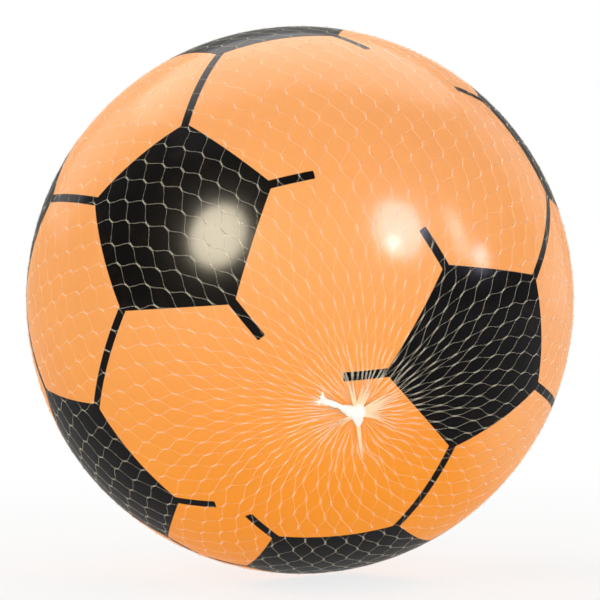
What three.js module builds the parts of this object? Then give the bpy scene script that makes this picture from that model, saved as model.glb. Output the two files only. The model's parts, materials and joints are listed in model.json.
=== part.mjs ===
import * as THREE from 'three';

// A printed rubber play ball in a net bag, in millimetres with +Z up.
// The origin lies on the ground under the ball's centre. The ball is seen from the -Y side.

// Ball skin: one hollow moulding with an inner boss round the valve
const ballRadius = 110;
const skinWall = 2.6;
const skinSides = 48;
const skinOuterSteps = 24;
const skinInnerSteps = 14;

// Clearance between any two pieces that touch on the real ball
const clearance = 0.3;

// Valve: a bung held in the boss by an inner flange, and a plug with a flush head
const valveBore = 6;
const bossRadius = 12;
const bossDepth = 8;
const seatFlangeRadius = 9;
const seatFlangeThickness = 1.6;
const plugHeadRadius = 4.2;
const plugHeadThickness = 1.6;
const plugStemRadius = 1.9;
const plugTipRadius = 1.3;
const plugTipLength = 3;
const plugHeadBevel = 0.4;
const valveSides = 24;

// Print: two fields of black pentagons, whose layout is given in degrees on the ball.
// Each field is stretched along one bearing and narrowed as much across it, as it was blown up.
const inkThickness = 0.2;
const inkStep = 5.5; // widest facet of a film
const pentagonAlong = 21.2;
const pentagonAcross = 20.3;
const fieldGapFront = 33.5;
const fieldGapBack = 7.2;
const fieldNearestBearing = 111; // where the fields come nearest, about the left one
const lineWidth = 3.3;
const lineEndLength = 15.4;
const lineEndGap = 1; // least angle from a free line end to the line midway between the fields
const leftPlace = { azimuth: 179.3, elevation: 19.7 };
const leftField = { turn: -81.7, stretch: 0.02, stretchBearing: 33 };
const rightField = { turn: 15.1, stretch: 0.04, stretchBearing: -46.6 };

// Net: a lattice of bars that meet in flat joints, drawn together in a collar at each end
const netCellsAround = 20;
const netBarLength = 26.6;
const netThickness = 1.4;
const jointHalfLength = 2;
const jointHalfWidth = 1.1;
const collarRadius = 7.5;
const collarHoleRadius = 5;
const collarStrandWidth = 1.4;
const netAzimuth = -78.7;
const standingRowsFromMiddle = 2;
const valveRowsFromMiddle = 4;
const valveColumn = 9;

// Gathers: the pleated, fused ends of the net
const gatherRadius = 5.6;
const gatherHeight = 4;
const gatherPleats = 9;
const gatherPleatDepth = 0.14;
const gatherDomeSteps = 4;
const gatherSides = 36;

// Colours from the photograph
const orangeRubber = { color: 0xf58a2a, roughness: 0.28, metalness: 0 };
const blackInk = { color: 0x0c0908, roughness: 0.2, metalness: 0 };
const whiteNet = { color: 0xf3efe8, roughness: 0.55, metalness: 0 };
const whitePlug = { color: 0xe9e4da, roughness: 0.5, metalness: 0 };

// Sizes that follow from the ones above
const radians = THREE.MathUtils.degToRad;
const inkInnerRadius = ballRadius + clearance;
const inkOuterRadius = inkInnerRadius + inkThickness;
const netBarAngle = netBarLength / ballRadius;
const netInnerRadius = (inkOuterRadius + clearance) / Math.cos(netBarAngle / 2);
const netOuterRadius = netInnerRadius + netThickness;
const cellAngle = 2 * Math.PI / netCellsAround;
const fifthOfTurn = 360 / 5;

function polarDirection(polar, around) {
  const out = Math.sin(polar);
  return new THREE.Vector3(out * Math.cos(around), out * Math.sin(around), Math.cos(polar));
}

function direction(azimuth, elevation) {
  return polarDirection(radians(90 - elevation), radians(azimuth));
}

// The point reached from start after turning by angle along the great circle that leaves it in heading
function along(start, heading, angle) {
  return start.clone().multiplyScalar(Math.cos(angle)).addScaledVector(heading, Math.sin(angle));
}

// The unit vector that leaves start for target along the ball's surface
function headingTo(start, target) {
  return target.clone().addScaledVector(start, -start.dot(target)).normalize();
}

function piece(name, geometry, finish) {
  const mesh = new THREE.Mesh(geometry, new THREE.MeshStandardMaterial(finish));
  mesh.name = name;
  return mesh;
}

function lathe(points, sides) {
  return new THREE.LatheGeometry(points.map(([radius, height]) => new THREE.Vector2(radius, height)), sides);
}

// Makes a closed solid of a patch of the unit sphere: an outer face, an inner face and a wall on every rim.
// The triangles run counter-clockwise as seen from outside.
function thicken(patch, innerRadius, outerRadiusAt) {
  const { directions, triangles } = patch;
  const count = directions.length;
  const positions = [];
  for (const point of directions) positions.push(...point.clone().multiplyScalar(innerRadius));
  for (const point of directions) positions.push(...point.clone().multiplyScalar(outerRadiusAt(point)));
  const rims = new Map();
  const indices = [];
  for (const [a, b, c] of triangles) {
    indices.push(a, c, b, a + count, b + count, c + count);
    for (const [from, to] of [[a, b], [b, c], [c, a]]) {
      if (!rims.delete(`${to} ${from}`)) rims.set(`${from} ${to}`, [from, to]);
    }
  }
  for (const [from, to] of rims.values()) {
    indices.push(to + count, from + count, from, to + count, from, to);
  }
  const geometry = new THREE.BufferGeometry();
  geometry.setAttribute('position', new THREE.Float32BufferAttribute(positions, 3));
  geometry.setIndex(indices);
  return geometry;
}

// Net: rows of joints, from the front end to the rear, spaced so that every bar has the same length
function netRows() {
  const half = [];
  let polar = Math.PI / 2;
  const lastPolar = Math.asin((collarRadius + 2 * jointHalfLength) / netInnerRadius);
  const rise = (at) => Math.sqrt(netBarAngle ** 2 - (Math.sin(at) * cellAngle / 2) ** 2);
  while (polar > lastPolar) {
    half.push(polar);
    polar -= rise(polar - rise(polar) / 2);
  }
  const rear = half.slice(1).map((value) => Math.PI - value);
  return [...half.reverse(), ...rear];
}

const rows = netRows();
const middleRow = (rows.length - 1) / 2;
const standingRow = middleRow - standingRowsFromMiddle;

// Joints stand half a cell aside in every other row, with one cell of the standing row right at the bottom
function jointAround(row, column) {
  const aside = (row - standingRow) % 2 === 0 ? 0.5 : 0;
  return (column + aside) * cellAngle;
}

// The net's own frame: +Z leaves through the front gather and +X lies on the underside
const netDip = Math.PI / 2 - rows[standingRow];
const frontAxis = direction(netAzimuth, -THREE.MathUtils.radToDeg(netDip));
const undersideAxis = headingTo(frontAxis, new THREE.Vector3(0, 0, -1));
const netFrame = new THREE.Matrix4().makeBasis(
  undersideAxis, frontAxis.clone().cross(undersideAxis), frontAxis);

// The net stands on the four joints round its lowest cell, which lie in the ground plane with their bars
const downInNet = polarDirection(rows[standingRow], 0);
const standingReach = rows[standingRow + 1] - rows[standingRow];
const ballHeight = netOuterRadius * Math.cos(standingReach);

function standsOnGround(row, column) {
  if (row === standingRow) return column === 0 || column === netCellsAround - 1;
  return Math.abs(row - standingRow) === 1 && column === 0;
}

function netPatch() {
  const directions = [];
  const triangles = [];
  const standing = new Set();
  const add = (polar, around) => directions.push(polarDirection(polar, around)) - 1;
  const quad = (a, b, c, d) => triangles.push([a, b, c], [a, c, d]);

  const joints = rows.map((polar, row) => {
    const halfTall = jointHalfLength / netInnerRadius;
    const halfWide = jointHalfWidth / (netInnerRadius * Math.sin(polar));
    return Array.from({ length: netCellsAround }, (_, column) => {
      const around = jointAround(row, column);
      const joint = {
        top: add(polar - halfTall, around),
        left: add(polar, around - halfWide),
        bottom: add(polar + halfTall, around),
        right: add(polar, around + halfWide),
      };
      quad(joint.top, joint.left, joint.bottom, joint.right);
      if (standsOnGround(row, column)) {
        for (const corner of Object.values(joint)) standing.add(directions[corner]);
      }
      return joint;
    });
  });

  for (let row = 0; row < rows.length - 1; row++) {
    const shift = (row - standingRow) % 2 === 0 ? 1 : 0;
    joints[row].forEach((upper, column) => {
      const lowerRight = joints[row + 1][(column + shift) % netCellsAround];
      const lowerLeft = joints[row + 1][(column + shift + netCellsAround - 1) % netCellsAround];
      quad(upper.left, lowerLeft.top, lowerLeft.right, upper.bottom);
      quad(upper.bottom, lowerRight.left, lowerRight.top, upper.right);
    });
  }

  const halfStrand = collarStrandWidth / 2 / collarRadius;
  const ring = (radius, rear, row) => joints[row].flatMap((_, column) => {
    const polar = Math.asin(radius / netInnerRadius);
    const around = jointAround(row, column);
    return [-halfStrand, halfStrand].map((side) => add(rear ? Math.PI - polar : polar, around + side));
  });
  for (const row of [0, rows.length - 1]) {
    const rear = row > 0;
    const outer = ring(collarRadius, rear, row);
    const inner = ring(collarHoleRadius, rear, row);
    const count = outer.length;
    joints[row].forEach((joint, column) => {
      const [left, right] = [outer[2 * column], outer[2 * column + 1]];
      if (rear) triangles.push([joint.left, left, joint.bottom], [joint.bottom, left, right],
        [joint.bottom, right, joint.right]);
      else triangles.push([left, joint.left, joint.top], [left, joint.top, right],
        [right, joint.top, joint.right]);
    });
    outer.forEach((point, step) => {
      const next = (step + 1) % count;
      if (rear) quad(point, inner[step], inner[next], outer[next]);
      else quad(inner[step], point, outer[next], inner[next]);
    });
  }
  return { directions, triangles, standing };
}

function netBag() {
  const patch = netPatch();
  const onGround = (point) => ballHeight / point.dot(downInNet);
  const outerRadiusAt = (point) => (patch.standing.has(point) ? onGround(point) : netOuterRadius);
  return piece('net_bag', thicken(patch, netInnerRadius, outerRadiusAt), whiteNet);
}

// A gather plugs the collar with its stem and spreads over it in a pleated cap
function gather(name, turned) {
  const stemRadius = collarHoleRadius - clearance;
  const stemFoot = netInnerRadius;
  const capFoot = netOuterRadius + clearance;
  const dome = Array.from({ length: gatherDomeSteps + 1 }, (_, i) => {
    const angle = Math.PI / 2 * i / gatherDomeSteps;
    return [gatherRadius * Math.cos(angle), capFoot + gatherHeight * Math.sin(angle)];
  });
  dome[gatherDomeSteps][0] = 0;
  const stem = [[0, stemFoot], [stemRadius, stemFoot], [stemRadius, capFoot]];
  const geometry = lathe([...stem, ...dome], gatherSides);
  const position = geometry.getAttribute('position');
  for (let i = 0; i < position.count; i++) {
    if (position.getY(i) <= capFoot) continue;
    const around = Math.atan2(position.getX(i), position.getZ(i));
    const pleat = 1 - gatherPleatDepth * (0.5 - 0.5 * Math.cos(gatherPleats * around));
    position.setX(i, position.getX(i) * pleat);
    position.setZ(i, position.getZ(i) * pleat);
  }
  const mesh = piece(name, geometry, whiteNet);
  mesh.rotation.x = turned ? -Math.PI / 2 : Math.PI / 2;
  return mesh;
}

const net = new THREE.Group();
net.add(netBag(), gather('front_gather', false), gather('rear_gather', true));
net.setRotationFromMatrix(netFrame);

// Valve: its axis leaves through the middle of one cell of the net, on the upper back of the ball
const valveRow = middleRow + valveRowsFromMiddle;
const valveAside = (valveRow - standingRow) % 2 === 0 ? 0 : 0.5;
const valveAxis = polarDirection(rows[valveRow], (valveColumn + valveAside) * cellAngle)
  .applyMatrix4(netFrame);
const boreMouth = Math.sqrt(ballRadius ** 2 - valveBore ** 2);
const innerRadius = ballRadius - skinWall;
const bossFoot = Math.sqrt(innerRadius ** 2 - bossRadius ** 2);
const bossEnd = bossFoot - bossDepth;

// Points of an arc round the ball's centre, from one angle off the valve axis to another
function arc(radius, fromAngle, toAngle, steps) {
  return Array.from({ length: steps + 1 }, (_, i) => {
    const angle = fromAngle + (toAngle - fromAngle) * i / steps;
    return [radius * Math.sin(angle), radius * Math.cos(angle)];
  });
}

function ballSkin() {
  const outside = arc(ballRadius, Math.PI, Math.asin(valveBore / ballRadius), skinOuterSteps);
  const inside = arc(innerRadius, Math.asin(bossRadius / innerRadius), Math.PI, skinInnerSteps);
  outside[0][0] = 0;
  inside[skinInnerSteps][0] = 0;
  const boss = [[valveBore, bossEnd], [bossRadius, bossEnd]];
  return piece('ball_skin', lathe([...outside, ...boss, ...inside], skinSides), orangeRubber);
}

const seatTop = boreMouth - clearance;
const seatBottom = bossEnd - clearance - seatFlangeThickness;
const headPocketFloor = seatTop - plugHeadThickness - clearance;

function valveSeat() {
  const bodyRadius = valveBore - clearance;
  const flangeTop = bossEnd - clearance;
  const pocketRadius = plugHeadRadius + clearance;
  const stemHole = plugStemRadius + clearance;
  return piece('valve_seat', lathe([
    [stemHole, seatBottom], [seatFlangeRadius, seatBottom], [seatFlangeRadius, flangeTop],
    [bodyRadius, flangeTop], [bodyRadius, seatTop], [pocketRadius, seatTop],
    [pocketRadius, headPocketFloor], [stemHole, headPocketFloor], [stemHole, seatBottom],
  ], valveSides), orangeRubber);
}

function valvePlug() {
  const headFoot = headPocketFloor + clearance;
  return piece('valve_plug', lathe([
    [0, seatBottom - plugTipLength], [plugTipRadius, seatBottom - plugTipLength],
    [plugStemRadius, seatBottom], [plugStemRadius, headFoot], [plugHeadRadius, headFoot],
    [plugHeadRadius, seatTop - plugHeadBevel], [plugHeadRadius - plugHeadBevel, seatTop], [0, seatTop],
  ], valveSides), whitePlug);
}

const blownUp = new THREE.Group();
blownUp.add(ballSkin(), valveSeat(), valvePlug());
blownUp.quaternion.setFromUnitVectors(new THREE.Vector3(0, 1, 0), valveAxis);

// Print films: a pentagon is a grid of triangles on the plane that touches the ball at its middle,
// pressed on to the ball, and a line is a strip along a great circle
const film = (patch) => thicken(patch, inkInnerRadius, () => inkOuterRadius);

function pentagonPatch({ middle, corners }) {
  const levels = Math.ceil(pentagonAlong / inkStep);
  const directions = [middle];
  const spot = (level, step) => {
    if (level === 0) return 0;
    return 1 + 5 * level * (level - 1) / 2 + step % (5 * level);
  };
  const triangles = [];
  for (let level = 1; level <= levels; level++) {
    for (let side = 0; side < 5; side++) {
      for (let step = 0; step < level; step++) {
        const edge = corners[side].clone().lerp(corners[(side + 1) % 5], step / level);
        directions.push(middle.clone().lerp(edge, level / levels).normalize());
        const outer = side * level + step;
        const inner = side * (level - 1) + step;
        triangles.push([spot(level - 1, inner), spot(level, outer), spot(level, outer + 1)]);
        if (step === 0) continue;
        triangles.push([spot(level - 1, inner - 1), spot(level, outer), spot(level - 1, inner)]);
      }
    }
  }
  return { directions, triangles };
}

function strokePatch(start, heading, length) {
  const first = clearance / ballRadius;
  const steps = Math.max(1, Math.ceil((length - first) / radians(inkStep)));
  const leftward = start.clone().cross(heading);
  const halfWidth = lineWidth / 2 / ballRadius;
  const directions = [];
  const triangles = [];
  for (let i = 0; i <= steps; i++) {
    const spine = along(start, heading, first + (length - first) * i / steps);
    directions.push(along(spine, leftward, halfWidth), along(spine, leftward, -halfWidth));
    const [left, right] = [2 * i, 2 * i + 1];
    if (i < steps) triangles.push([right, right + 2, left + 2], [right, left + 2, left]);
  }
  return { directions, triangles };
}

// Moves a point of a field along the ball's surface by the field's stretch
function stretcher(pole, axis, amount) {
  const across = pole.clone().cross(axis);
  return (point) => {
    const heading = headingTo(pole, point).multiplyScalar(pole.angleTo(point));
    const moved = axis.clone().multiplyScalar(heading.dot(axis) * (1 + amount))
      .addScaledVector(across, heading.dot(across) * (1 - amount));
    return along(pole, moved.clone().normalize(), moved.length());
  };
}

// A pentagon round middle, with its first corner in firstAngle. Its corners lie on the plane that
// touches the ball at its stretched middle, and its points are the same corners on the ball.
function pentagon(middle, alongAxis, acrossAxis, alongReach, firstAngle, stretched) {
  const points = Array.from({ length: 5 }, (_, i) => {
    const angle = firstAngle + radians(fifthOfTurn * i);
    return stretched(middle.clone()
      .addScaledVector(alongAxis, Math.tan(alongReach) * Math.cos(angle))
      .addScaledVector(acrossAxis, Math.tan(radians(pentagonAcross)) * Math.sin(angle))
      .normalize());
  });
  const touching = stretched(middle);
  const corners = points.map((point) => point.clone().divideScalar(point.dot(touching)));
  return { middle: touching, corners, points };
}

// The tilt that puts an outer pentagon's far corners on the rim of its field
function ringTilt() {
  const reach = radians((360 - fieldGapFront - fieldGapBack) / 4);
  const out = Math.tan(radians(pentagonAlong)) * Math.cos(radians(fifthOfTurn / 2));
  const aside = Math.tan(radians(pentagonAcross)) * Math.sin(radians(fifthOfTurn / 2));
  return Math.acos(Math.cos(reach) * Math.hypot(1, out, aside) / Math.hypot(1, out)) - Math.atan(out);
}

function printField(side, pole, { turn, stretch, stretchBearing }, otherPole) {
  const up = headingTo(pole, new THREE.Vector3(0, 0, 1));
  const aside = pole.clone().cross(up);
  const bearing = (angle) => along(up, aside, radians(angle));
  const stretched = stretcher(pole, bearing(stretchBearing), stretch);
  const films = [];
  const add = (name, patch) => films.push(piece(`${name}_${side}`, film(patch), blackInk));

  const centreReach = radians(pentagonAcross);
  const centre = pentagon(pole, bearing(turn), bearing(turn + 90), centreReach, 0, stretched);
  add('pentagon_centre', pentagonPatch(centre));
  const ring = Array.from({ length: 5 }, (_, i) => {
    const outward = bearing(turn + fifthOfTurn * i);
    const sideways = bearing(turn + fifthOfTurn * i + 90);
    const middle = along(pole, outward, ringTilt());
    const away = along(outward, pole, -ringTilt());
    return pentagon(middle, away, sideways, radians(pentagonAlong), Math.PI, stretched);
  });

  const joinLine = (name, from, to) => {
    const length = from.angleTo(to) - clearance / ballRadius;
    add(name, strokePatch(from, headingTo(from, to), length));
  };
  const fieldLine = pole.clone().sub(otherPole).normalize();
  const freeLine = (name, from, middle) => {
    const heading = headingTo(from, middle).negate();
    const [rise, fall] = [from.dot(fieldLine), heading.dot(fieldLine)];
    const limit = Math.sin(radians(lineEndGap));
    const untilMiddle = Math.atan2(fall, rise) + Math.acos(limit / Math.hypot(rise, fall));
    add(name, strokePatch(from, heading, Math.min(lineEndLength / ballRadius, untilMiddle)));
  };
  ring.forEach((one, i) => {
    const label = i + 1;
    add(`pentagon_${label}`, pentagonPatch(one));
    joinLine(`spoke_${label}`, centre.points[i], one.points[0]);
    joinLine(`rim_line_${label}`, one.points[4], ring[(i + 1) % 5].points[1]);
    freeLine(`line_end_${label}a`, one.points[2], one.middle);
    freeLine(`line_end_${label}b`, one.points[3], one.middle);
  });
  return films;
}

const leftPole = direction(leftPlace.azimuth, leftPlace.elevation);
const leftUp = headingTo(leftPole, new THREE.Vector3(0, 0, 1));
const nearest = along(leftUp, leftPole.clone().cross(leftUp), radians(fieldNearestBearing));
const rightPole = along(leftPole, nearest, radians(180 - (fieldGapFront - fieldGapBack) / 2));

const print = new THREE.Group();
print.add(...printField('left', leftPole, leftField, rightPole));
print.add(...printField('right', rightPole, rightField, leftPole));

const ball = new THREE.Group();
ball.add(blownUp, print, net);
ball.position.z = ballHeight;

export default ball;
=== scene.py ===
import json
import math
import random

import bmesh
import bpy
from mathutils import Matrix, Vector


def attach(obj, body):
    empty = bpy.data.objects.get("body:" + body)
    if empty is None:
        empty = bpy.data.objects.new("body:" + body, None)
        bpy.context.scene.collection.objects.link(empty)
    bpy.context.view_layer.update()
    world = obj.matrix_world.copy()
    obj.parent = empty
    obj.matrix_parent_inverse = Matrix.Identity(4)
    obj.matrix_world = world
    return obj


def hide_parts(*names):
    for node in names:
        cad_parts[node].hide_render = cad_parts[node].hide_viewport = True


# Printed rubber play ball in a net bag, dressed over its solids.
# Metres, +Z up, seen from the -Y side.
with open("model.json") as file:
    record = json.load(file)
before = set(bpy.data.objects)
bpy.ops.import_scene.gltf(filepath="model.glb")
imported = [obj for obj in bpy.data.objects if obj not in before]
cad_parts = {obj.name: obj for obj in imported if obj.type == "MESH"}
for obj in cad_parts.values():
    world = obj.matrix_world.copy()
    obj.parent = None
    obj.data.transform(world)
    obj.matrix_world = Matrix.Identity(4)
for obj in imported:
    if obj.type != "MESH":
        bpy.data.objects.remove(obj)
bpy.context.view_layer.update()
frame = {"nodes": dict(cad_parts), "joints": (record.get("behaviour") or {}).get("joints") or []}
solids = frame["nodes"]
joints = {joint["name"]: joint for joint in frame["joints"]}

mm = 0.001
hair = 0.001 * mm  # a radius smaller than this is taken for the axis
sharpEdge = math.radians(40)  # edges sharper than this stay crisp
down = Vector((0, 0, -1))
centre = Vector(joints["net_turn"]["pos_m"])  # middle of the ball
netAxis = Vector(joints["net_turn"]["axis"])  # leaves through the front gather
valveAxis = Vector(joints["plug_pull"]["axis"])
skinRadius = max((v.co - centre).length for v in solids["ball_skin"].data.vertices)


# Shapes

def turnTo(axis, toward):
    # a frame with Z along axis and X as near to toward as it can be
    z = axis.normalized()
    x = (toward - z * toward.dot(z)).normalized()
    return Matrix((x, z.cross(x), z)).transposed()


def polarPoint(polar, around):
    out = math.sin(polar)
    return Vector((out * math.cos(around), out * math.sin(around), math.cos(polar)))


def polarOf(point):
    return math.acos(max(-1, min(1, point.z))), math.atan2(point.y, point.x)


def onBall(direction, height=0):
    return centre + direction * (skinRadius + height)


def makePiece(name, mesh, material, body, slotName, *replaced):
    mesh.shade_smooth()
    mesh.set_sharp_from_angle(angle=sharpEdge)
    mesh.materials.append(material)
    piece = bpy.data.objects.new(name, mesh)
    bpy.context.scene.collection.objects.link(piece)
    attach(piece, body)
    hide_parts(*replaced)
    return piece


def meshFrom(name, points, faces):
    mesh = bpy.data.meshes.new(name)
    mesh.from_pydata(points, [], faces)
    mesh.update()
    return mesh


def meshFromEdit(name, edit):
    bmesh.ops.recalc_face_normals(edit, faces=edit.faces)
    mesh = bpy.data.meshes.new(name)
    edit.to_mesh(mesh)
    edit.free()
    return mesh


def arc(radius, fromAngle, toAngle, steps):
    # angles run from the axis of a turned piece
    angles = [fromAngle + (toAngle - fromAngle) * i / steps for i in range(steps + 1)]
    return [Vector((radius * math.sin(angle), radius * math.cos(angle))) for angle in angles]


def softened(profile, reach, steps=3):
    # rounds every inner corner of a profile over that reach, or over less where a side is short
    mostOfSide = 0.45
    rounded = [profile[0]]
    for before, corner, after in zip(profile, profile[1:], profile[2:]):
        start = corner + (before - corner) * min(mostOfSide, reach / (before - corner).length)
        end = corner + (after - corner) * min(mostOfSide, reach / (after - corner).length)
        for i in range(steps + 1):
            t = i / steps
            rounded.append(start.lerp(corner, t).lerp(corner.lerp(end, t), t))
    return rounded + [profile[-1]]


def turnedMesh(name, profile, sides, turn):
    # spins a profile of (radius, height) round an axis through the middle of the ball
    edit = bmesh.new()
    rings = []
    for radius, height in profile:
        count = sides if radius > hair else 1
        angles = [2 * math.pi * i / sides for i in range(count)]
        spots = [Vector((radius * math.cos(a), radius * math.sin(a), height)) for a in angles]
        rings.append([edit.verts.new(centre + turn @ spot) for spot in spots])
    for lower, upper in zip(rings, rings[1:]):
        for i in range(sides):
            corners = [lower[i % len(lower)], lower[(i + 1) % len(lower)],
                       upper[(i + 1) % len(upper)], upper[i % len(upper)]]
            edit.faces.new(dict.fromkeys(corners))
    bmesh.ops.remove_doubles(edit, verts=edit.verts, dist=0.1 * hair)
    return meshFromEdit(name, edit)


# Materials

def hexColour(code):
    # an sRGB hex value as linear red, green, blue and full cover
    channels = [int(code[i:i + 2], 16) / 255 for i in (0, 2, 4)]
    return [c / 12.92 if c <= 0.04045 else ((c + 0.055) / 1.055) ** 2.4 for c in channels] + [1]


def addNode(tree, kind, settings=None, links=None):
    node = tree.nodes.new(kind)
    for name, value in (settings or {}).items():
        if isinstance(name, int) or name in node.inputs:
            node.inputs[name].default_value = value
        else:
            setattr(node, name, value)
    for name, source in (links or {}).items():
        tree.links.new(source, node.inputs[name])
    return node


def startMaterial(name, surface):
    material = bpy.data.materials.new(name)
    material.use_nodes = True
    tree = material.node_tree
    shader = tree.nodes["Principled BSDF"]
    for socket, value in surface.items():
        shader.inputs[socket].default_value = value
    place = addNode(tree, "ShaderNodeTexCoord").outputs["Object"]
    return material, tree, shader, place


def ballRubber():
    # Moulded, lacquered rubber: a clear even orange with a soft haze of its own and a thin wet
    # gloss on top. The pigment is a little cloudy, a painted sheen pales the colour toward white at
    # the top and on one side and fades out below, the haze is smudged, and the mould leaves a fine
    # orange peel.
    look = {"deep": "EE8A14", "pale": "F59722", "sheenPaint": "FFE2C4",
            "cloud": 45 * mm, "smudge": 22 * mm, "peel": 1.6 * mm}
    # each painted sheen: the side that it lies on, the cosines from that side between which it
    # grows, and how much of the colour it takes at most
    sheenPaints = [((-0.22, -0.10, 0.95), -0.72, 0.35, 0.145), ((0.88, -0.40, -0.27), 0.85, 0.99, 0.17)]
    material, tree, shader, place = startMaterial("glossyMouldedRubber", {
        "IOR": 1.5, "Metallic": 0, "Specular IOR Level": 0.09,
        "Coat Weight": 0.15, "Coat Roughness": 0.16, "Coat IOR": 1.5})
    cloud = addNode(tree, "ShaderNodeTexNoise", {"Scale": 1 / look["cloud"], "Detail": 3},
                    {"Vector": place})
    tint = addNode(tree, "ShaderNodeMix", {
        "data_type": "RGBA", 6: hexColour(look["deep"]), 7: hexColour(look["pale"])},
        {"Factor": cloud.outputs["Fac"]})
    fromCentre = addNode(tree, "ShaderNodeVectorMath", {"operation": "SUBTRACT", 1: centre}, {0: place})
    shares = []
    for side, start, full, most in sheenPaints:
        toward = addNode(tree, "ShaderNodeVectorMath", {
            "operation": "DOT_PRODUCT", 1: Vector(side).normalized() / skinRadius},
            {0: fromCentre.outputs["Vector"]})
        share = addNode(tree, "ShaderNodeMapRange", {
            "interpolation_type": "SMOOTHSTEP", "From Min": start, "From Max": full, "To Max": most},
            {"Value": toward.outputs["Value"]})
        shares.append(share.outputs["Result"])
    sheenAmount = addNode(tree, "ShaderNodeMath", {"operation": "ADD"}, {0: shares[0], 1: shares[1]})
    # painted sheen: the orange is paled toward white at the top and on one side, where the light's haze
    # falls
    sheenPainted = addNode(tree, "ShaderNodeMix", {"data_type": "RGBA", 7: hexColour(look["sheenPaint"])},
                      {"Factor": sheenAmount.outputs[0], 6: tint.outputs[2]})
    smudge = addNode(tree, "ShaderNodeTexNoise", {"Scale": 1 / look["smudge"], "Detail": 4},
                     {"Vector": place})
    gloss = addNode(tree, "ShaderNodeMapRange", {
        "From Min": 0.3, "From Max": 0.7, "To Min": 0.55, "To Max": 0.65},
        {"Value": smudge.outputs["Fac"]})
    peel = addNode(tree, "ShaderNodeTexNoise", {"Scale": 1 / look["peel"], "Detail": 1},
                   {"Vector": place})
    bump = addNode(tree, "ShaderNodeBump", {"Strength": 0.08, "Distance": 0.1 * mm},
                   {"Height": peel.outputs["Fac"]})
    tree.links.new(sheenPainted.outputs[2], shader.inputs["Base Color"])
    tree.links.new(gloss.outputs["Result"], shader.inputs["Roughness"])
    tree.links.new(bump.outputs["Normal"], shader.inputs["Normal"])
    return material


def blackInk():
    # Gloss screen ink: matt black pigment, a touch brown where the orange shows through thin
    # spots, under a thin clear gloss with a faint print of the screen's threads.
    look = {"full": "050404", "thin": "140A06", "thinSpot": 6 * mm, "thread": 0.9 * mm}
    material, tree, shader, place = startMaterial("glossScreenInk", {
        "IOR": 1.48, "Metallic": 0, "Specular IOR Level": 0.01,
        "Coat Weight": 0.15, "Coat Roughness": 0.16, "Coat IOR": 1.5})
    spots = addNode(tree, "ShaderNodeTexNoise", {"Scale": 1 / look["thinSpot"], "Detail": 5},
                    {"Vector": place})
    cover = addNode(tree, "ShaderNodeMapRange", {
        "From Min": 0.52, "From Max": 0.75}, {"Value": spots.outputs["Fac"]})
    tint = addNode(tree, "ShaderNodeMix", {
        "data_type": "RGBA", 6: hexColour(look["full"]), 7: hexColour(look["thin"])},
        {"Factor": cover.outputs["Result"]})
    gloss = addNode(tree, "ShaderNodeMapRange", {"To Min": 0.4, "To Max": 0.6},
                    {"Value": spots.outputs["Fac"]})
    threads = addNode(tree, "ShaderNodeTexNoise", {"Scale": 1 / look["thread"], "Detail": 0},
                      {"Vector": place})
    bump = addNode(tree, "ShaderNodeBump", {"Strength": 0.05, "Distance": 0.05 * mm},
                   {"Height": threads.outputs["Fac"]})
    tree.links.new(tint.outputs[2], shader.inputs["Base Color"])
    tree.links.new(gloss.outputs["Result"], shader.inputs["Roughness"])
    tree.links.new(bump.outputs["Normal"], shader.inputs["Normal"])
    tree.links.new(bump.outputs["Normal"], shader.inputs["Coat Normal"])
    return material


def netPolythene(name, milky, clear, cover):
    # Extruded, stretched polythene: milky and satin, with fine streaks along the draw. A thin
    # strand is creamy and lets most of what lies under it show, and a fused clump is white.
    look = {"milky": milky, "clear": clear, "streak": 2.5 * mm}
    material, tree, shader, place = startMaterial(name, {
        "IOR": 1.51, "Metallic": 0, "Specular IOR Level": 0.1, "Alpha": cover})
    streak = addNode(tree, "ShaderNodeTexNoise", {"Scale": 1 / look["streak"], "Detail": 4},
                     {"Vector": place})
    tint = addNode(tree, "ShaderNodeMix", {
        "data_type": "RGBA", 6: hexColour(look["milky"]), 7: hexColour(look["clear"])},
        {"Factor": streak.outputs["Fac"]})
    gloss = addNode(tree, "ShaderNodeMapRange", {"To Min": 0.5, "To Max": 0.7},
                    {"Value": streak.outputs["Fac"]})
    tree.links.new(tint.outputs[2], shader.inputs["Base Color"])
    tree.links.new(gloss.outputs["Result"], shader.inputs["Roughness"])
    return material


def valveRubber():
    # Softer rubber of the valve bung: the same pigment, duller, with a dusting of powder.
    look = {"clean": "D97A1C", "dusted": "E3A15E", "dust": 1.2 * mm, "pore": 0.5 * mm}
    material, tree, shader, place = startMaterial("satinValveRubber", {
        "IOR": 1.5, "Metallic": 0, "Specular IOR Level": 0.3})
    dust = addNode(tree, "ShaderNodeTexNoise", {"Scale": 1 / look["dust"], "Detail": 6},
                   {"Vector": place})
    cover = addNode(tree, "ShaderNodeMapRange", {
        "From Min": 0.45, "From Max": 0.8, "To Max": 0.6}, {"Value": dust.outputs["Fac"]})
    tint = addNode(tree, "ShaderNodeMix", {
        "data_type": "RGBA", 6: hexColour(look["clean"]), 7: hexColour(look["dusted"])},
        {"Factor": cover.outputs["Result"]})
    gloss = addNode(tree, "ShaderNodeMapRange", {"To Min": 0.45, "To Max": 0.65},
                    {"Value": dust.outputs["Fac"]})
    pores = addNode(tree, "ShaderNodeTexNoise", {"Scale": 1 / look["pore"], "Detail": 2},
                    {"Vector": place})
    bump = addNode(tree, "ShaderNodeBump", {"Strength": 0.15, "Distance": 0.05 * mm},
                   {"Height": pores.outputs["Fac"]})
    tree.links.new(tint.outputs[2], shader.inputs["Base Color"])
    tree.links.new(gloss.outputs["Result"], shader.inputs["Roughness"])
    tree.links.new(bump.outputs["Normal"], shader.inputs["Normal"])
    return material


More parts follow.
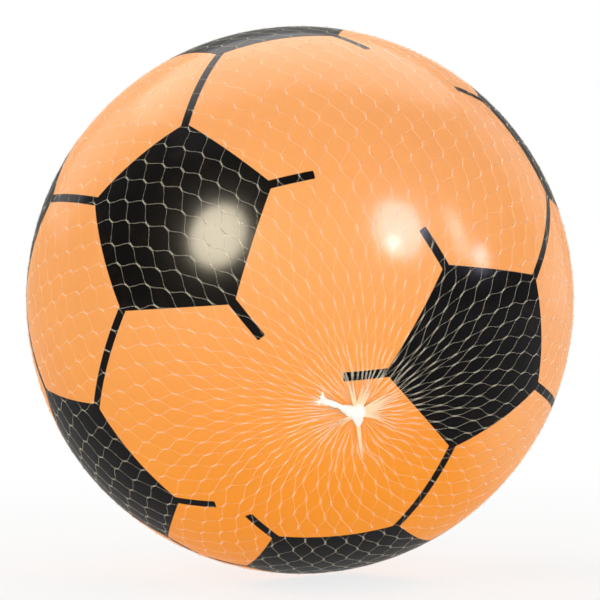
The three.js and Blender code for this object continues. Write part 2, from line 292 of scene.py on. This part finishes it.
def plugPolythene():
    # Injection-moulded soft polythene: cream white and waxy, with faint flow marks.
    look = {"wax": "EAE5DA", "flow": "DDD5C6", "mark": 1.8 * mm}
    material, tree, shader, place = startMaterial("mouldedSoftPolythene", {
        "IOR": 1.51, "Metallic": 0, "Specular IOR Level": 0.3,
        "Subsurface Weight": 0.1, "Subsurface Scale": 0.5 * mm})
    marks = addNode(tree, "ShaderNodeTexNoise", {
        "Scale": 1 / look["mark"], "Detail": 3, "Distortion": 1.5}, {"Vector": place})
    tint = addNode(tree, "ShaderNodeMix", {
        "data_type": "RGBA", 6: hexColour(look["wax"]), 7: hexColour(look["flow"])},
        {"Factor": marks.outputs["Fac"]})
    gloss = addNode(tree, "ShaderNodeMapRange", {"To Min": 0.35, "To Max": 0.5},
                    {"Value": marks.outputs["Fac"]})
    tree.links.new(tint.outputs[2], shader.inputs["Base Color"])
    tree.links.new(gloss.outputs["Result"], shader.inputs["Roughness"])
    return material


rubber = ballRubber()
ink = blackInk()
netBar = netPolythene("stretchedPolythene", "FFF5DE", "FAEED2", 0.1)
netLink = netPolythene("pressedPolythene", "FFF5DE", "FAEED2", 0.18)
netPleat = netPolythene("bunchedPolythene", "FFE6C4", "FAD8AC", 1)
netClump = netPolythene("fusedPolythene", "FAF8F2", "F2EFE6", 1)
print("materials made")


# Ball skin and valve, turned about the valve's axis

skin = {"wall": 2.6 * mm, "bore": 6 * mm, "lip": 0.5 * mm, "bossRadius": 12 * mm, "bossDepth": 8 * mm,
        "sides": 192, "outerSteps": 120, "innerSteps": 36}
valve = {"fit": 0.3 * mm, "flangeRadius": 9 * mm, "flange": 1.6 * mm, "headRadius": 4.2 * mm,
         "head": 1.6 * mm, "dish": 0.4 * mm, "dishRadius": 2.94 * mm, "dishFloor": 2.1 * mm,
         "stemRadius": 1.9 * mm, "tipRadius": 1.3 * mm, "tip": 3 * mm, "sides": 72, "edge": 0.3 * mm}
valveTurn = turnTo(valveAxis, down)
innerRadius = skinRadius - skin["wall"]
boreMouth = math.sqrt(skinRadius ** 2 - skin["bore"] ** 2)
bossEnd = math.sqrt(innerRadius ** 2 - skin["bossRadius"] ** 2) - skin["bossDepth"]


def makeSkin():
    lipAngle = math.asin((skin["bore"] + 2 * skin["lip"]) / skinRadius)
    outside = arc(skinRadius, math.pi, lipAngle, skin["outerSteps"])
    inside = arc(innerRadius, math.asin(skin["bossRadius"] / innerRadius), math.pi, skin["innerSteps"])
    bore, boss = skin["bore"], skin["bossRadius"]
    neck = [outside[-1], Vector((bore, boreMouth)), Vector((bore, bossEnd)), Vector((boss, bossEnd)),
            inside[0]]
    profile = outside + softened(neck, skin["lip"])[1:-1] + inside
    profile[0].x = profile[-1].x = 0
    mesh = turnedMesh("ballSkin", profile, skin["sides"], valveTurn)
    makePiece("ballSkin", mesh, rubber, "ball", "skin_rubber", "ball_skin")


def makeValve():
    fit, stem, head = valve["fit"], valve["stemRadius"], valve["headRadius"]
    top = boreMouth - fit
    foot = bossEnd - fit - valve["flange"]
    pocket = top - valve["head"] - fit
    hole, flange, body = stem + fit, valve["flangeRadius"], skin["bore"] - fit
    shoulder = bossEnd - fit
    seam = (foot + pocket) / 2  # half way up the hole, where the outline closes
    seat = [Vector(p) for p in (
        (hole, seam), (hole, foot), (flange, foot), (flange, shoulder), (body, shoulder), (body, top),
        (head + fit, top), (head + fit, pocket), (hole, pocket), (hole, seam))]
    mesh = turnedMesh("valveSeat", softened(seat, valve["edge"]), valve["sides"], valveTurn)
    makePiece("valveSeat", mesh, valveRubber(), "ball", "valve_rubber", "valve_seat")
    under = pocket + fit
    end = foot - valve["tip"]
    dish = top - valve["dish"]
    plug = [Vector(p) for p in (
        (0, end), (valve["tipRadius"], end), (stem, foot), (stem, under), (head, under), (head, top),
        (valve["dishRadius"], top), (valve["dishFloor"], dish), (0, dish))]
    mesh = turnedMesh("valvePlug", softened(plug, valve["edge"]), valve["sides"], valveTurn)
    makePiece("valvePlug", mesh, plugPolythene(), "plug", "plug_plastic", "valve_plug")


makeSkin()
makeValve()
print("skin and valve made")


# Print: each film of the frame again, finer, curved with the ball and tucked together

film = {"bed": 0.01 * mm, "lineTop": 0.04 * mm, "pentagonTop": 0.07 * mm, "cuts": 3, "weld": 0.005 * mm,
        "lineStep": 2.5 * mm, "tuck": 2.2 * mm, "endRound": 0.5 * mm, "endSteps": 4}


def outerFace(node):
    # the outer face of a film, without its walls and its back
    edit = bmesh.new()
    edit.from_mesh(solids[node].data)
    bmesh.ops.remove_doubles(edit, verts=edit.verts, dist=film["weld"])
    heights = {v: (v.co - centre).length for v in edit.verts}
    middle = (max(heights.values()) + min(heights.values())) / 2
    bmesh.ops.delete(edit, geom=[v for v in heights if heights[v] < middle], context="VERTS")
    return edit


def pressOn(edit, top):
    # lays a patch on the skin and gives it its thickness
    for v in edit.verts:
        v.co = onBall((v.co - centre).normalized(), film["bed"])
    raised = bmesh.ops.extrude_face_region(edit, geom=edit.faces[:], use_keep_orig=True)
    for v in raised["geom"]:
        if isinstance(v, bmesh.types.BMVert):
            v.co = onBall((v.co - centre).normalized(), top)


def middleOf(node):
    points = [v.co - centre for v in solids[node].data.vertices]
    return sum(points, Vector()).normalized()


def makePentagon(node):
    edit = outerFace(node)
    bmesh.ops.subdivide_edges(edit, edges=edit.edges[:], cuts=film["cuts"], use_grid_fill=True)
    pressOn(edit, film["pentagonTop"])
    makePiece(node + "_film", meshFromEdit(node, edit), ink, "ball", "print_ink", node)


def makeLine(node, freeEndFrom=None):
    # a strip along a great circle between the film's two short ends. An end at a pentagon is
    # tucked under it, and a free end has slightly rounded corners.
    patch = outerFace(node)
    rims = sorted((e for e in patch.edges if e.is_boundary), key=lambda e: e.calc_length())
    ends = [sum((v.co - centre for v in e.verts), Vector()).normalized() for e in rims[:2]]
    halfWidth = rims[0].calc_length() / 2
    patch.free()
    if freeEndFrom is not None:
        ends.sort(key=lambda end: -end.dot(freeEndFrom))
    start, finish = ends
    heading = (finish - start * start.dot(finish)).normalized()
    aside = start.cross(heading)
    reach = start.angle(finish) * skinRadius
    tail = reach + film["tuck"] if freeEndFrom is None else reach - film["endRound"]
    whole = tail + film["tuck"]
    steps = math.ceil(whole / film["lineStep"])
    stations = [(whole * i / steps - film["tuck"], halfWidth) for i in range(steps + 1)]
    if freeEndFrom is not None:
        bend = film["endRound"]
        for i in range(1, film["endSteps"] + 1):
            angle = math.pi / 2 * i / film["endSteps"]
            stations.append((tail + bend * math.sin(angle), halfWidth - bend + bend * math.cos(angle)))
    edit = bmesh.new()
    rungs = []
    for distance, half in stations:
        angle = distance / skinRadius
        spine = start * math.cos(angle) + heading * math.sin(angle)
        sides = [spine + aside * half / skinRadius * side for side in (1, 0, -1)]
        rungs.append([edit.verts.new(centre + side) for side in sides])
    for here, there in zip(rungs, rungs[1:]):
        for i in (0, 1):
            edit.faces.new((here[i], here[i + 1], there[i + 1], there[i]))
    pressOn(edit, film["lineTop"])
    makePiece(node + "_film", meshFromEdit(node, edit), ink, "ball", "print_ink", node)


def makeField(side):
    makePentagon(f"pentagon_centre_{side}")
    for label in range(1, 6):
        pentagon = f"pentagon_{label}_{side}"
        makePentagon(pentagon)
        makeLine(f"spoke_{label}_{side}")
        makeLine(f"rim_line_{label}_{side}")
        for half in "ab":
            makeLine(f"line_end_{label}{half}_{side}", middleOf(pentagon))


makeField("left")
makeField("right")
print("print made")


# Net: zigzag strands that meet in short fused links, drawn together at both ends

net = {"cellsAround": 60, "endRow": 8.8 * mm, "middleRow": 7 * mm, "closedAt": 2.6 * mm,
       "outerStrand": 0.16 * mm, "innerStrand": 0.11 * mm, "linkStrand": 0.19 * mm,
       "link": 2.6 * mm, "besideLink": 0.15 * mm, "milkyAbove": 0.18 * mm,
       "lift": 0.09 * mm, "sides": 4, "barSwing": (0.29, 0.71), "packing": 0.45,
       "unevenness": 0.35 * mm, "seed": 11,
       "valveClear": 4.8 * mm, "valveEase": 4, "valveReach": 24 * mm,
       "crowding": 0.8, "crowdingReach": 11 * mm, "swelling": 0.6, "swellingReach": 17 * mm,
       # the lean and both sides are in degrees round the ball, and the slack is in radians
       "lean": 25, "leanSide": 340, "leanReach": 52 * mm, "slack": 0.1, "slackSide": 0}
# pleats of each gather, which are bunches of strands: bearing in degrees, clockwise from the top as
# seen from outside, start and end, half width at the start and at the end, and count of strands
frontPleats = [
    (-71, 11 * mm, 18 * mm, 0.9 * mm, 2.8 * mm, 10), (-14, 2.5 * mm, 12.2 * mm, 0.7 * mm, 0.9 * mm, 8),
    (20, 2.5 * mm, 11.6 * mm, 1.1 * mm, 2.0 * mm, 15), (67, 3 * mm, 18 * mm, 0.9 * mm, 1.9 * mm, 14),
    (82, 4 * mm, 21 * mm, 0.4 * mm, 0.5 * mm, 5), (100, 3 * mm, 12 * mm, 0.9 * mm, 1.7 * mm, 12),
    (168, 3.5 * mm, 21 * mm, 0.6 * mm, 0.3 * mm, 9), (230, 2.5 * mm, 8 * mm, 0.5 * mm, 1.0 * mm, 5)]
rearPleats = [
    (-140, 3 * mm, 16 * mm, 0.8 * mm, 1.2 * mm, 11), (-78, 2.5 * mm, 11 * mm, 0.7 * mm, 1.4 * mm, 10),
    (-22, 3.5 * mm, 20 * mm, 0.7 * mm, 0.4 * mm, 10), (41, 9 * mm, 16 * mm, 0.8 * mm, 2.4 * mm, 10),
    (98, 3 * mm, 17 * mm, 0.8 * mm, 1.6 * mm, 12), (150, 2.5 * mm, 10 * mm, 0.6 * mm, 1.2 * mm, 8)]
netTurn = turnTo(netAxis, down)
halfCell = math.pi / net["cellsAround"]
valvePolar, valveAround = polarOf(netTurn.transposed() @ valveAxis)
valveDirection = polarPoint(valvePolar, valveAround)


def netRows():
    # polar angles of the rows of links, worked out both ways from the row beside the valve. Rows
    # are closest at the middle of the ball, where the net is drawn widest.
    def spacing(polar):
        return (net["endRow"] + (net["middleRow"] - net["endRow"]) * math.sin(polar) ** 2) / skinRadius
    rows = [valvePolar]
    last = math.asin(net["closedAt"] / skinRadius)
    while rows[0] - spacing(rows[0]) > last:
        rows.insert(0, rows[0] - spacing(rows[0] - spacing(rows[0]) / 2))
    while rows[-1] + spacing(rows[-1]) < math.pi - last:
        rows.append(rows[-1] + spacing(rows[-1] + spacing(rows[-1]) / 2))
    return rows


def leaned(polar, around):
    # on one side of a gather the net is dragged round toward it, and on a slack side all round
    # the ball its cells are wider
    away = min(polar, math.pi - polar) * skinRadius / net["leanReach"]
    side = max(0, math.cos(around - math.radians(net["leanSide"]))) ** 2
    loose = net["slack"] * math.sin(around - math.radians(net["slackSide"]))
    return around + loose - math.radians(net["lean"]) * side * math.exp(-away ** 2)


def crowded(polar, around):
    # strands bunch into the pleats of the nearer gather, and gaps open between the pleats
    front = polar < math.pi / 2
    bearings = [p[0] for p in (frontPleats if front else rearPleats)]
    stops = sorted(math.radians(180 - b if front else b) % (2 * math.pi) for b in bearings)
    away = min(polar, math.pi - polar) * skinRadius / net["crowdingReach"]
    pull = net["crowding"] * math.exp(-away ** 2)
    angle = around % (2 * math.pi)
    after = next((s for s in stops if s > angle), stops[0] + 2 * math.pi)
    before = max((s for s in stops if s <= angle), default=stops[-1] - 2 * math.pi)
    share = (angle - before) / (after - before)
    return before + (after - before) * (share - pull * math.sin(2 * math.pi * share) / (2 * math.pi))


def clearOfValve(direction):
    # the cell at the valve is eased open, so that the plug comes out through it
    toValve = valveDirection.angle(direction)
    if toValve > net["valveReach"] / skinRadius:
        return direction
    clear, ease = net["valveClear"] / skinRadius, net["valveEase"]
    wanted = (toValve ** ease + clear ** ease) ** (1 / ease)
    aside = (direction - valveDirection * direction.dot(valveDirection)).normalized()
    return valveDirection * math.cos(wanted) + aside * math.sin(wanted)


def swollen(polar, radius):
    # strands are less stretched and so thicker near a gather, up to where they lie side by side
    away = min(polar, math.pi - polar) * skinRadius / net["swellingReach"]
    sideBySide = net["packing"] * halfCell * skinRadius * math.sin(polar)
    return min(radius * (1 + net["swelling"] * math.exp(-away ** 2)), sideBySide)


def strandPath(strand, rows, wobble):
    # (direction in the net's frame, strand radius) from one end of the net to the other
    path = []
    halfLink = net["link"] / 2 / skinRadius
    first = math.asin(net["closedAt"] / skinRadius)
    valveColumn = round(valveAround / halfCell)
    valveRow = rows.index(valvePolar)
    offset = valveAround - valveColumn * halfCell
    spots = []
    for row, polar in enumerate(rows):
        # links stand half a cell off the valve
        aside = (strand - row - valveColumn + valveRow) % 2 == 0
        column = strand + 1 if aside else strand
        side = -1 if aside else 1
        drift, sway = wobble[row, column % (2 * net["cellsAround"])]
        width = skinRadius * math.sin(polar)
        around = column * halfCell + offset + sway / width
        beside = side * min(net["besideLink"] / width, net["packing"] * halfCell)
        spots.append((polar + drift / skinRadius, around, beside))
    path.append((first, spots[0][1], net["innerStrand"]))
    for here, there in zip(spots, spots[1:] + [None]):
        polar, around, beside = here
        path.append((polar - halfLink, around + beside, net["linkStrand"]))
        path.append((polar + halfLink, around + beside, net["linkStrand"]))
        if there is None:
            break
        barStart, barEnd = polar + halfLink, there[0] - halfLink
        fromAround, toAround = around + beside, there[1] + there[2]
        radius = net["outerStrand"] if toAround > fromAround else net["innerStrand"]
        for i, swing in enumerate(net["barSwing"]):
            path.append((barStart + (barEnd - barStart) * (i + 1) / (len(net["barSwing"]) + 1),
                         fromAround + (toAround - fromAround) * swing, radius))
    path.append((math.pi - first, spots[-1][1], net["innerStrand"]))
    toValve = valveAround - leaned(valvePolar, valveAround)  # keeps a cell over the valve
    return [(clearOfValve(polarPoint(polar, crowded(polar, leaned(polar, around) + toValve))),
             swollen(polar, radius)) for polar, around, radius in path]


def addStrand(points, faces, spots, radii):
    # a closed tube through the spots, with a ring of points at each
    sides, base = net["sides"], len(points)
    for i, (spot, radius) in enumerate(zip(spots, radii)):
        along = (spots[min(i + 1, len(spots) - 1)] - spots[max(i - 1, 0)]).normalized()
        out = (spot - centre).normalized()
        across = along.cross(out).normalized()
        for k in range(sides):
            angle = 2 * math.pi * k / sides
            points.append(spot + (out * math.cos(angle) + across * math.sin(angle)) * radius)
        if i == 0:
            continue
        low, high = base + (i - 1) * sides, base + i * sides
        for k in range(sides):
            m = (k + 1) % sides
            faces.append((low + k, low + m, high + m, high + k))
    faces.append(tuple(base + sides - 1 - k for k in range(sides)))
    faces.append(tuple(len(points) - sides + k for k in range(sides)))


def makeNet():
    random.seed(net["seed"])
    rows = netRows()
    strands = 2 * net["cellsAround"]
    sway = net["unevenness"]
    wobble = {(row, column): (random.gauss(0, sway), random.gauss(0, sway))
              for row in range(len(rows)) for column in range(strands)}
    points, faces, linked = [], [], []
    for strand in range(strands):
        path = strandPath(strand, rows, wobble)
        radii = [radius for direction, radius in path]
        spots = [onBall(netTurn @ direction, net["lift"] + radius) for direction, radius in path]
        addStrand(points, faces, spots, radii)
        for before, after in zip(radii, radii[1:]):
            linked += [min(before, after) > net["milkyAbove"]] * net["sides"]
        linked += [False, False]
    mesh = meshFrom("netBag", points, faces)
    piece = makePiece("netBag", mesh, netBar, "net", "net_plastic", "net_bag")
    piece.data.materials.append(netLink)
    piece.data.polygons.foreach_set("material_index", linked)
    piece.visible_shadow = False  # the light goes on through such thin strands
    print("net made:", len(rows), "rows of", net["cellsAround"], "cells,", len(faces), "faces")


makeNet()


# Gathers: the net's drawn and fused ends, a smooth clump with two arms and loose pleats round it

gather = {"stand": 0.5, "flat": 0.7, "beads": 28, "lumpy": 0.2, "voxel": 0.2 * mm, "smooth": 14,
          "seed": 5, "bend": 6, "wave": 3}  # the bend is in degrees of bearing, the wave in radians
fray = {"count": 11, "spread": 11, "reach": 3.4 * mm, "shortest": 0.5, "sideLoss": 0.4,
        "steps": 5, "thickness": 0.5, "taper": 0.4}  # the spread is in degrees of bearing
pleat = {"root": 0.2 * mm, "tip": 0.05 * mm, "steps": 9, "rise": 0.9 * mm, "uneven": 0.45}
# lumps of a clump, which tapers downward: bearing, distance from the pole and radius
lumps = [(0, 0, 2.9 * mm), (-70, 2.6 * mm, 2.3 * mm), (-70, 4.6 * mm, 1.7 * mm),
         (30, 1.6 * mm, 2.2 * mm), (95, 1.4 * mm, 2.1 * mm), (162, 2.6 * mm, 2.0 * mm),
         (166, 4.4 * mm, 1.3 * mm)]
# arms of each clump: bearing, length, and half thickness at the clump, half way and at the tip
frontArms = [(-70, 12.8 * mm, 1.9 * mm, 1.05 * mm, 1.2 * mm),
             (168, 12 * mm, 1.3 * mm, 0.45 * mm, 0.25 * mm)]
rearArms = [(40, 12 * mm, 1.7 * mm, 1.0 * mm, 1.2 * mm),
            (-22, 12 * mm, 1.3 * mm, 0.5 * mm, 0.3 * mm)]
rearSwing = 170  # degrees by which the rear clump is turned against the front one


def nearPole(front, bearing, distance):
    around = math.radians(180 - bearing if front else bearing)
    polar = distance / skinRadius
    return netTurn @ polarPoint(polar if front else math.pi - polar, around)


def makePleats(name, pleats, front):
    random.seed(gather["seed"] + (2 if front else 3))
    points, faces = [], []
    for bearing, start, end, startHalf, endHalf, count in pleats:
        for i in range(count):
            place = 2 * (i + random.uniform(-pleat["uneven"], pleat["uneven"])) / (count - 1) - 1
            reach = end - (end - start) * random.uniform(0, pleat["uneven"])
            spots, radii = [], []
            for step in range(pleat["steps"] + 1):
                t = step / pleat["steps"]
                distance = start + (reach - start) * t
                aside = place * (startHalf + (endHalf - startHalf) * t)
                direction = nearPole(front, bearing + math.degrees(aside / distance), distance)
                radius = pleat["root"] + (pleat["tip"] - pleat["root"]) * t
                height = net["lift"] + radius + pleat["rise"] * (1 - t) ** 2
                spots.append(onBall(direction, height))
                radii.append(radius)
            addStrand(points, faces, spots, radii)
    piece = makePiece(name, meshFrom(name, points, faces), netPleat, "net", "net_plastic")
    piece.visible_shadow = False


def addBead(edit, front, bearing, distance, radius, stand):
    # a flattened ball near a pole, whose middle stands that share of its radius off the skin
    direction = nearPole(front, bearing, distance)
    spot = onBall(direction, net["lift"] + radius * stand)
    flat = Matrix.Diagonal((radius, radius, radius * gather["flat"], 1))
    place = Matrix.Translation(spot) @ turnTo(direction, down).to_4x4() @ flat
    bmesh.ops.create_icosphere(edit, subdivisions=2, radius=1, matrix=place)


def addArm(edit, front, bearing, length, root, waist, tip):
    bend = random.uniform(-gather["bend"], gather["bend"])
    for i in range(gather["beads"]):
        t = i / (gather["beads"] - 1)
        here, there, share = (root, waist, 2 * t) if t < 0.5 else (waist, tip, 2 * t - 1)
        lump = random.uniform(1 - gather["lumpy"], 1 + gather["lumpy"])
        radius = (here + (there - here) * share) * lump
        swing = bend * math.sin(gather["wave"] * t)
        addBead(edit, front, bearing + swing, length * t, radius, gather["flat"])


def addFrays(edit, front, bearing, length, tip):
    for i in range(fray["count"]):
        aside = random.uniform(-1, 1)
        reach = fray["reach"] * random.uniform(fray["shortest"], 1) * (1 - fray["sideLoss"] * abs(aside))
        for step in range(fray["steps"]):
            t = (step + 1) / fray["steps"]
            radius = tip * fray["thickness"] * (1 - fray["taper"] * t)
            swing = fray["spread"] * aside * t
            addBead(edit, front, bearing + swing, length + reach * t, radius, gather["flat"])


def makeClump(name, node, arms, front):
    random.seed(gather["seed"] + (0 if front else 1))
    edit = bmesh.new()
    for bearing, distance, radius in lumps:
        turned = bearing if front else bearing + rearSwing
        addBead(edit, front, turned, distance, radius, gather["stand"])
    for bearing, length, root, waist, tip in arms:
        addArm(edit, front, bearing, length, root, waist, tip)
        if tip > waist:  # a swollen tip is frayed
            addFrays(edit, front, bearing, length, tip)
    raw = bpy.data.objects.new(name, meshFromEdit(name, edit))
    bpy.context.scene.collection.objects.link(raw)
    fuse = raw.modifiers.new("fuse", "REMESH")
    fuse.mode = "VOXEL"
    fuse.voxel_size = gather["voxel"]
    settle = raw.modifiers.new("settle", "SMOOTH")
    settle.iterations = gather["smooth"]
    fused = raw.evaluated_get(bpy.context.evaluated_depsgraph_get())
    mesh = bpy.data.meshes.new_from_object(fused)
    bpy.data.objects.remove(raw)
    makePiece(name, mesh, netClump, "net", "net_plastic", node)


makePleats("frontPleats", frontPleats, True)
makePleats("rearPleats", rearPleats, False)
makeClump("frontGather", "front_gather", frontArms, True)
makeClump("rearGather", "rear_gather", rearArms, False)
print("gathers made")


# Camera, level with the middle of the ball

shot = {"distance": 0.88, "ballShare": 0.912, "sensor": 36}  # ballShare of half the picture's width


def makeCamera():
    data = bpy.data.cameras.new("camera")
    data.sensor_width = shot["sensor"]
    outline = skinRadius / math.sqrt(shot["distance"] ** 2 - skinRadius ** 2)
    data.lens = shot["sensor"] / 2 * shot["ballShare"] / outline
    camera = bpy.data.objects.new("camera", data)
    camera.location = centre + Vector((0, -shot["distance"], 0))
    camera.rotation_euler = (math.pi / 2, 0, 0)
    bpy.context.scene.collection.objects.link(camera)
    bpy.context.scene.camera = camera


# Studio: soft boxes round the ball on a white paper floor, in a room that is bright behind the ball

# each lamp: direction from the ball, distance, width, height and brightness
softBoxes = {
    "keyBox": ((-0.53, -0.72, 0.45), 1.30, 0.40, 0.52, 5.0),
    "fillBox": ((0.63, -0.60, 0.50), 1.30, 0.40, 0.40, 4.9),
    "topBox": ((-0.10, 0.05, 1.00), 1.30, 1.60, 1.40, 0.65),
    "backLeftBox": ((-0.72, 0.60, 0.60), 1.60, 0.80, 1.20, 2.7),
    "backRightBox": ((0.75, 0.65, 0.35), 1.60, 0.80, 1.20, 2.0),
}
dullPanels = {  # these don't show in a gloss
    "frontPanel": ((0.05, -1.00, 0.05), 1.50, 0.90, 0.30, 4.6),
    "rightPanel": ((0.82, -0.57, 0.02), 1.50, 0.60, 0.30, 4.5),
    "leftPanel": ((-0.85, -0.52, 0.02), 1.50, 0.50, 0.30, 3.2),
}
shineCards = {  # round cards that show only in a gloss, each with its tint
    "keyCard": ((-0.51, -0.76, 0.40), 1.20, 0.46, 0.50, 120, "FFF1D2"),
    "fillCard": ((0.60, -0.68, 0.43), 1.20, 0.42, 0.46, 64, "D8E0FF"),
    "fillSpot": ((0.58, -0.74, 0.35), 1.15, 0.05, 0.08, 320, "FFFFFF"),
    "sideCard": ((0.95, -0.22, 0.23), 1.20, 0.16, 0.15, 88, "E4E8FF"),
    "streakCard": ((0.86, -0.34, 0.37), 1.20, 0.12, 0.36, 46, "E4E8FF"),
    "topCard": ((-0.05, 0.46, 0.88), 1.20, 1.80, 1.10, 5.2, "FFFFFF"),
}
floor = {"radius": 6, "steps": 96, "paper": "F4F3F1",
         "shadeWithin": 0.12, "whiteFrom": 0.6, "leastWhite": 0.8}
# brightness of the room, and the cosines from straight behind the ball between which it changes
room = {"cameraSide": 0.24, "sides": 0.40, "behind": 1.0,
        "sidesFrom": -0.5, "sidesAt": 0.4, "behindFrom": 0.85, "behindAt": 0.975}


def addLamp(name, direction, distance, width, height, brightness, tint=None):
    data = bpy.data.lights.new(name, "AREA")
    data.shape = "ELLIPSE" if tint else "RECTANGLE"
    data.color = hexColour(tint or "FFFFFF")[:3]
    data.size = width
    data.size_y = height
    area = width * height * (math.pi / 4 if tint else 1)
    data.energy = brightness * math.pi * area
    lamp = bpy.data.objects.new(name, data)
    toward = Vector(direction).normalized()
    lamp.location = centre + toward * distance
    lamp.rotation_euler = toward.to_track_quat("Z", "Y").to_euler()
    bpy.context.scene.collection.objects.link(lamp)
    return lamp


def makeLamps():
    for name, box in softBoxes.items():
        addLamp(name, *box)
    for name, panel in dullPanels.items():
        addLamp(name, *panel).visible_glossy = False
    for name, card in shineCards.items():
        addLamp(name, *card).visible_diffuse = False


def whitePaper():
    # Matt white paper on a light table. Round the ball it takes some shadow, and further out it is
    # lit through to an even white.
    material = bpy.data.materials.new("whitePaper")
    material.use_nodes = True
    tree = material.node_tree
    tree.nodes.clear()
    place = addNode(tree, "ShaderNodeTexCoord").outputs["Object"]
    away = addNode(tree, "ShaderNodeVectorMath", {"operation": "LENGTH"}, {0: place})
    share = addNode(tree, "ShaderNodeMapRange", {
        "interpolation_type": "SMOOTHSTEP", "From Min": floor["shadeWithin"],
        "From Max": floor["whiteFrom"], "To Min": floor["leastWhite"]}, {"Value": away.outputs["Value"]})
    matt = addNode(tree, "ShaderNodeBsdfDiffuse", {"Color": hexColour(floor["paper"])})
    glow = addNode(tree, "ShaderNodeEmission", {"Strength": 1})
    both = addNode(tree, "ShaderNodeMixShader", {}, {
        0: share.outputs["Result"], 1: matt.outputs[0], 2: glow.outputs[0]})
    addNode(tree, "ShaderNodeOutputMaterial", {}, {"Surface": both.outputs[0]})
    return material


def makeFloor():
    turns = [2 * math.pi * i / floor["steps"] for i in range(floor["steps"])]
    rim = [Vector((floor["radius"] * math.cos(a), floor["radius"] * math.sin(a), 0)) for a in turns]
    paper = bpy.data.objects.new("paperFloor", meshFrom("paperFloor", rim, [tuple(range(len(rim)))]))
    paper.data.materials.append(whitePaper())
    bpy.context.scene.collection.objects.link(paper)


def makeRoom():
    world = bpy.data.worlds.new("room")
    world.use_nodes = True
    tree = world.node_tree
    toward = addNode(tree, "ShaderNodeTexCoord").outputs["Generated"]
    behind = addNode(tree, "ShaderNodeVectorMath", {"operation": "DOT_PRODUCT", 1: (0, 1, 0)},
                     {0: toward})
    side = addNode(tree, "ShaderNodeMapRange", {
        "interpolation_type": "SMOOTHSTEP", "From Min": room["sidesFrom"], "From Max": room["sidesAt"],
        "To Min": room["cameraSide"], "To Max": room["sides"]}, {"Value": behind.outputs["Value"]})
    bright = addNode(tree, "ShaderNodeMapRange", {
        "interpolation_type": "SMOOTHSTEP", "From Min": room["behindFrom"], "From Max": room["behindAt"],
        "To Min": 0, "To Max": room["behind"] - room["sides"]}, {"Value": behind.outputs["Value"]})
    strength = addNode(tree, "ShaderNodeMath", {"operation": "ADD"},
                       {0: side.outputs["Result"], 1: bright.outputs["Result"]})
    glow = tree.nodes["Background"]
    glow.inputs["Color"].default_value = (1, 1, 1, 1)
    tree.links.new(strength.outputs[0], glow.inputs["Strength"])
    bpy.context.scene.world = world
    bpy.context.scene.view_settings.view_transform = "Standard"


makeCamera()
makeLamps()
makeFloor()
makeRoom()
print("camera and studio made")
